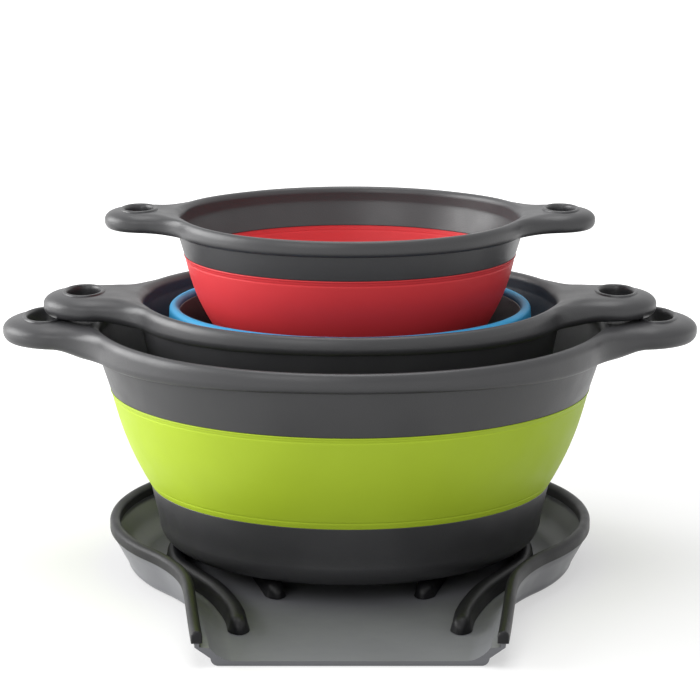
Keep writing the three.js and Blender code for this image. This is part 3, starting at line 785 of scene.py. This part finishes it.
def moulded(name, colour, roughness, grain, grain_size, mottling, **sockets):
    """A moulded plastic or silicone: fine surface grain, uneven gloss and faint colour clouds."""
    material = bpy.data.materials.new(name)
    material.use_nodes = True
    nodes, links = material.node_tree.nodes, material.node_tree.links
    shader = nodes["Principled BSDF"]
    for socket, value in sockets.items():
        shader.inputs[socket.replace("_", " ")].default_value = value
    place = nodes.new("ShaderNodeTexCoord")

    def noise(scale, detail):
        texture = nodes.new("ShaderNodeTexNoise")
        texture.inputs["Scale"].default_value = scale
        texture.inputs["Detail"].default_value = detail
        links.new(place.outputs["Object"], texture.inputs["Vector"])
        return texture.outputs["Fac"]

    clouds = nodes.new("ShaderNodeValToRGB")
    base_colour = linear(colour)
    darker = [c * (1 - mottling) for c in base_colour]
    lighter = [c * (1 + mottling) for c in base_colour]
    clouds.color_ramp.elements[0].position = 0.35
    clouds.color_ramp.elements[1].position = 0.65
    clouds.color_ramp.elements[0].color = (*darker, 1)
    clouds.color_ramp.elements[1].color = (*lighter, 1)
    links.new(noise(CLOUD_SCALE, 3), clouds.inputs["Fac"])
    links.new(clouds.outputs["Color"], shader.inputs["Base Color"])

    gloss = nodes.new("ShaderNodeMapRange")
    gloss.inputs["From Min"].default_value = 0.3
    gloss.inputs["From Max"].default_value = 0.7
    gloss.inputs["To Min"].default_value = roughness - GLOSS_BELOW
    gloss.inputs["To Max"].default_value = roughness + GLOSS_ABOVE
    links.new(noise(GLOSS_SCALE, 4), gloss.inputs["Value"])
    links.new(gloss.outputs["Result"], shader.inputs["Roughness"])

    bump = nodes.new("ShaderNodeBump")
    bump.inputs["Strength"].default_value = grain
    bump.inputs["Distance"].default_value = GRAIN_DEPTH
    links.new(noise(1 / grain_size, 2), bump.inputs["Height"])
    links.new(bump.outputs["Normal"], shader.inputs["Normal"])
    return material


GREY_PLASTIC = moulded(
    "grey_plastic", "#39393b", roughness=0.39, grain=0.35, grain_size=0.0009, mottling=0.03,
    Specular_IOR_Level=0.55,
)
TRAY_PLASTIC = moulded(
    "tray_plastic", "#7c7d81", roughness=0.34, grain=0.05, grain_size=0.0012, mottling=0.03,
    Specular_IOR_Level=0.3,
)
DARK_TRIM = moulded(
    "dark_trim", "#161618", roughness=0.45, grain=0.3, grain_size=0.0008, mottling=0.05,
    Specular_IOR_Level=0.25,
)
SILICONES = {
    word: moulded(
        word + "_silicone", colour, roughness=0.5, grain=0.2, grain_size=0.0012, mottling=0.02,
        Specular_IOR_Level=0.35,
    )
    for word, colour in (("lime", "#c3df36"), ("blue", "#3cb4ee"), ("red", "#f04046"))
}


# ---------- pieces on their bodies ----------
def dress(piece, material, node):
    """Gives a piece its material, and puts it in a CAD node's place."""
    piece.data.materials.clear()
    piece.data.materials.append(material)
    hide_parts(node)
    return piece


def add_colander(name, colour):
    """Rim and base on their bodies, and between them the band, baked in place."""
    size = sizes[name]
    rim_piece = dress(rim(size), GREY_PLASTIC, name + "_rim")
    shade_by_area(rim_piece)
    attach(rim_piece, name + "_rim")
    base_piece = dress(base(size), GREY_PLASTIC, name + "_base")
    shade_by_area(base_piece)
    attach(base_piece, name + "_base")
    folded = name == "medium"
    band = folded_band(size) if folded else open_band(size)
    dress(band, SILICONES[colour], name + "_band")
    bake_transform(band)


def add_tray():
    """The moulding with its trim and four ribs, all on the tray's body."""
    shell = dress(tray_shell(), TRAY_PLASTIC, "tray_shell")
    shade_by_area(shell)
    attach(shell, "tray")
    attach(dress(tray_trim(), DARK_TRIM, "tray_trim"), "tray")
    for word, side in (("left", -1), ("right", 1)):
        for kind, route in (("outer", OUTER_RIB_ROUTE), ("inner", INNER_RIB_ROUTE)):
            node = f"{kind}_rib_{word}"
            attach(dress(rib(node + "_bead", route, side, node), DARK_TRIM, node), "tray")


add_tray()
add_colander("large", "lime")
add_colander("medium", "blue")
add_colander("small", "red")


# ---------- stage and light ----------
FLOOR_HALF = 30  # metres, as are the other lengths below
FLOOR_DROP = 0.0002  # keeps the floor off the tray's underside
FLOOR_SHADE = 0.5
GLOW_NEAR = 0.5  # the floor's own light under the object, where its shadows lie
GLOW_FROM, GLOW_TO = 0.15, 0.75  # distances between which that light grows to full
AMBIENT = 0.4  # the surroundings' light on the object
AIM = (0, 0, 0.1)  # what the lights face
LIGHTS = [
    # name, place, width, height, watts
    ("key", (-1.65, 0.3, 0.6), 1.5, 1.1, 31),
    ("front", (-0.9, -1.7, 1.0), 1.2, 1.2, 9),
    ("fill", (1.3, -1.1, 0.9), 1.2, 1.2, 1),
    ("top", (0.0, 0.1, 1.6), 1.2, 1.2, 13),
]


def either(nodes, links, first, second):
    """A socket that is 1 where one of two 0 or 1 sockets is."""
    node = nodes.new("ShaderNodeMath")
    node.operation = "MAXIMUM"
    links.new(first, node.inputs[0])
    links.new(second, node.inputs[1])
    return node.outputs[0]


def make_floor():
    """A pale floor whose own glow grows away from the object, where it becomes the white ground."""
    mesh = bpy.data.meshes.new("floor")
    builder = bmesh.new()
    bmesh.ops.create_grid(builder, x_segments=1, y_segments=1, size=FLOOR_HALF)
    builder.to_mesh(mesh)
    builder.free()
    floor = bpy.data.objects.new("floor", mesh)
    floor.location.z = -FLOOR_DROP
    bpy.context.scene.collection.objects.link(floor)
    material = bpy.data.materials.new("floor")
    material.use_nodes = True
    nodes, links = material.node_tree.nodes, material.node_tree.links
    nodes.clear()
    matte = nodes.new("ShaderNodeBsdfDiffuse")
    matte.inputs["Color"].default_value = (FLOOR_SHADE, FLOOR_SHADE, FLOOR_SHADE, 1)
    place = nodes.new("ShaderNodeTexCoord")
    distance = nodes.new("ShaderNodeVectorMath")
    distance.operation = "LENGTH"
    links.new(place.outputs["Object"], distance.inputs[0])
    growth = nodes.new("ShaderNodeMapRange")
    growth.interpolation_type = "SMOOTHSTEP"
    growth.inputs["From Min"].default_value = GLOW_FROM
    growth.inputs["From Max"].default_value = GLOW_TO
    growth.inputs["To Min"].default_value = GLOW_NEAR
    growth.inputs["To Max"].default_value = 1.0
    links.new(distance.outputs["Value"], growth.inputs["Value"])
    path = nodes.new("ShaderNodeLightPath")
    seen = either(nodes, links, path.outputs["Is Camera Ray"], path.outputs["Is Glossy Ray"])
    lift = nodes.new("ShaderNodeMath")
    lift.operation = "MULTIPLY"
    links.new(seen, lift.inputs[0])
    links.new(growth.outputs["Result"], lift.inputs[1])
    glow = nodes.new("ShaderNodeEmission")
    links.new(lift.outputs[0], glow.inputs["Strength"])
    both = nodes.new("ShaderNodeAddShader")
    links.new(matte.outputs[0], both.inputs[0])
    links.new(glow.outputs[0], both.inputs[1])
    out = nodes.new("ShaderNodeOutputMaterial")
    links.new(both.outputs[0], out.inputs["Surface"])
    floor.data.materials.append(material)


def make_world():
    """White where it is seen, mirrored or looked through, and dimmer as a light."""
    world = bpy.data.worlds.new("studio")
    bpy.context.scene.world = world
    world.use_nodes = True
    nodes, links = world.node_tree.nodes, world.node_tree.links
    background = nodes["Background"]
    background.inputs["Color"].default_value = (1, 1, 1, 1)
    path = nodes.new("ShaderNodeLightPath")
    through = either(nodes, links, path.outputs["Is Camera Ray"], path.outputs["Is Transmission Ray"])
    seen = either(nodes, links, through, path.outputs["Is Glossy Ray"])
    strength = nodes.new("ShaderNodeMapRange")
    strength.inputs["To Min"].default_value = AMBIENT
    strength.inputs["To Max"].default_value = 1.0
    links.new(seen, strength.inputs["Value"])
    links.new(strength.outputs["Result"], background.inputs["Strength"])


def softbox(name, place, width, height, power):
    """A rectangular light that faces the object."""
    data = bpy.data.lights.new(name, "AREA")
    data.shape = "RECTANGLE"
    data.size = width
    data.size_y = height
    data.energy = power
    light = bpy.data.objects.new(name, data)
    light.location = place
    light.rotation_euler = (Vector(AIM) - Vector(place)).to_track_quat("-Z", "Y").to_euler()
    bpy.context.scene.collection.objects.link(light)


make_floor()
make_world()
for light_row in LIGHTS:
    softbox(*light_row)
bpy.context.scene.view_settings.view_transform = "Standard"
